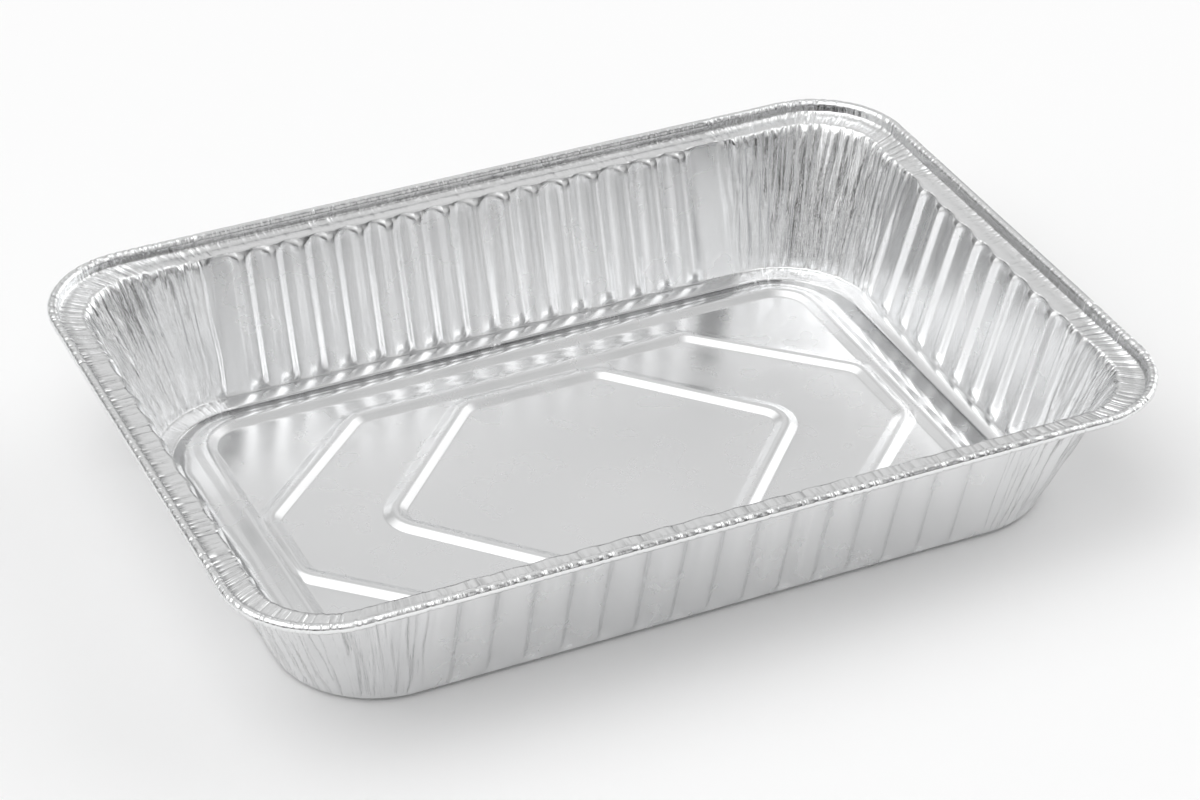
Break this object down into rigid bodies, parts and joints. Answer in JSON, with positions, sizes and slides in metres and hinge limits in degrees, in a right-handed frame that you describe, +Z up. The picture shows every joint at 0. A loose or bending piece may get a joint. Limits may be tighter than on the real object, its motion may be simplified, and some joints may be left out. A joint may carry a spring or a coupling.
{
  "type": "aluminium foil baking tray",
  "caption": "Rectangular pressed-foil baking tray with ribbed sloping walls, pleated corners, a rolled rim and raised floor beads.",
  "frame": {"origin": "centre of the tray's bounding box on its underside, where the floor stands on a table", "axes": "+X along the tray's length, +Y across its width, +Z up out of the open mouth"},
  "size_m": [0.33, 0.2364, 0.0558],
  "materials": {
    "foil": "bright rolled aluminium foil, faint rolling grain, unpainted"
  },
  "bodies": {
    "root": {"foil_tray": "foil"}
  },
  "joints": []
}
